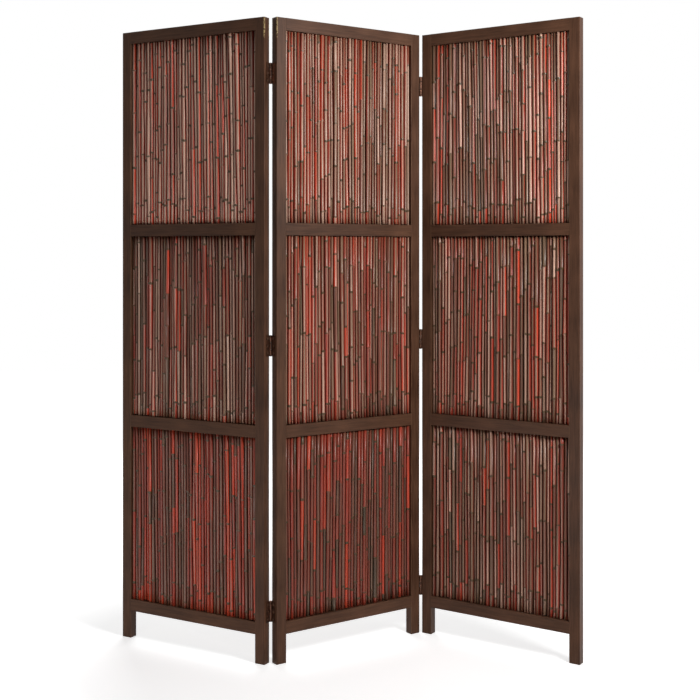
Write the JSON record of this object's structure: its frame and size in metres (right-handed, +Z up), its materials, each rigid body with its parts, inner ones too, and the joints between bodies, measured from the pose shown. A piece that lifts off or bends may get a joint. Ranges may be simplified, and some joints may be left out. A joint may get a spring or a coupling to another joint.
{
  "type": "folding screen",
  "caption": "Free-standing zigzag folding screen: dark wood frames hinged edge to edge, filled with upright lacquered bamboo sticks, folding flat.",
  "frame": {"origin": "on the floor, below the middle of the screen's box as it stands zigzag", "axes": "+Z up; -Y towards the side that shows the bamboo; +X to the right from that side"},
  "size_m": [1.3132, 0.308, 1.78],
  "materials": {
    "frame_wood": "espresso stain under a satin lacquer",
    "lacquered_bamboo": "thin bamboo, stained red and brown, glossy",
    "backing_board": "thin plywood stained near black, matt",
    "hinge_metal": "dark bronze finish on pressed steel"
  },
  "bodies": {
    "centre_panel": {"centre_panel_bottom_rail": "frame_wood", "centre_panel_left_stile": "frame_wood", "centre_panel_lower_backing_board": "backing_board", "centre_panel_lower_bamboo_sticks": "lacquered_bamboo", "centre_panel_lower_rail": "frame_wood", "centre_panel_middle_backing_board": "backing_board", "centre_panel_middle_bamboo_sticks": "lacquered_bamboo", "centre_panel_right_stile": "frame_wood", "centre_panel_top_rail": "frame_wood", "centre_panel_upper_backing_board": "backing_board", "centre_panel_upper_bamboo_sticks": "lacquered_bamboo", "centre_panel_upper_rail": "frame_wood", "left_fold_hinge_pins": "hinge_metal", "left_fold_lower_hinge_centre_leaf": "hinge_metal", "left_fold_middle_hinge_centre_leaf": "hinge_metal", "left_fold_upper_hinge_centre_leaf": "hinge_metal", "right_fold_hinge_pins": "hinge_metal", "right_fold_lower_hinge_centre_leaf": "hinge_metal", "right_fold_middle_hinge_centre_leaf": "hinge_metal", "right_fold_upper_hinge_centre_leaf": "hinge_metal"},
    "left_panel": {"left_fold_lower_hinge_outer_leaf": "hinge_metal", "left_fold_middle_hinge_outer_leaf": "hinge_metal", "left_fold_upper_hinge_outer_leaf": "hinge_metal", "left_panel_bottom_rail": "frame_wood", "left_panel_left_stile": "frame_wood", "left_panel_lower_backing_board": "backing_board", "left_panel_lower_bamboo_sticks": "lacquered_bamboo", "left_panel_lower_rail": "frame_wood", "left_panel_middle_backing_board": "backing_board", "left_panel_middle_bamboo_sticks": "lacquered_bamboo", "left_panel_right_stile": "frame_wood", "left_panel_top_rail": "frame_wood", "left_panel_upper_backing_board": "backing_board", "left_panel_upper_bamboo_sticks": "lacquered_bamboo", "left_panel_upper_rail": "frame_wood"},
    "right_panel": {"right_fold_lower_hinge_outer_leaf": "hinge_metal", "right_fold_middle_hinge_outer_leaf": "hinge_metal", "right_fold_upper_hinge_outer_leaf": "hinge_metal", "right_panel_bottom_rail": "frame_wood", "right_panel_left_stile": "frame_wood", "right_panel_lower_backing_board": "backing_board", "right_panel_lower_bamboo_sticks": "lacquered_bamboo", "right_panel_lower_rail": "frame_wood", "right_panel_middle_backing_board": "backing_board", "right_panel_middle_bamboo_sticks": "lacquered_bamboo", "right_panel_right_stile": "frame_wood", "right_panel_top_rail": "frame_wood", "right_panel_upper_backing_board": "backing_board", "right_panel_upper_bamboo_sticks": "lacquered_bamboo", "right_panel_upper_rail": "frame_wood"}
  },
  "joints": [
    {"name": "left_fold", "type": "hinge", "parent": "centre_panel", "child": "left_panel", "pos_m": [-0.20605, -0.13256, 0], "axis": [0, 0, -1], "range_deg": [-64.5, 115.5]},
    {"name": "right_fold", "type": "hinge", "parent": "centre_panel", "child": "right_panel", "pos_m": [0.22507, 0.13391, 0], "axis": [0, 0, -1], "range_deg": [-69, 111]}
  ]
}
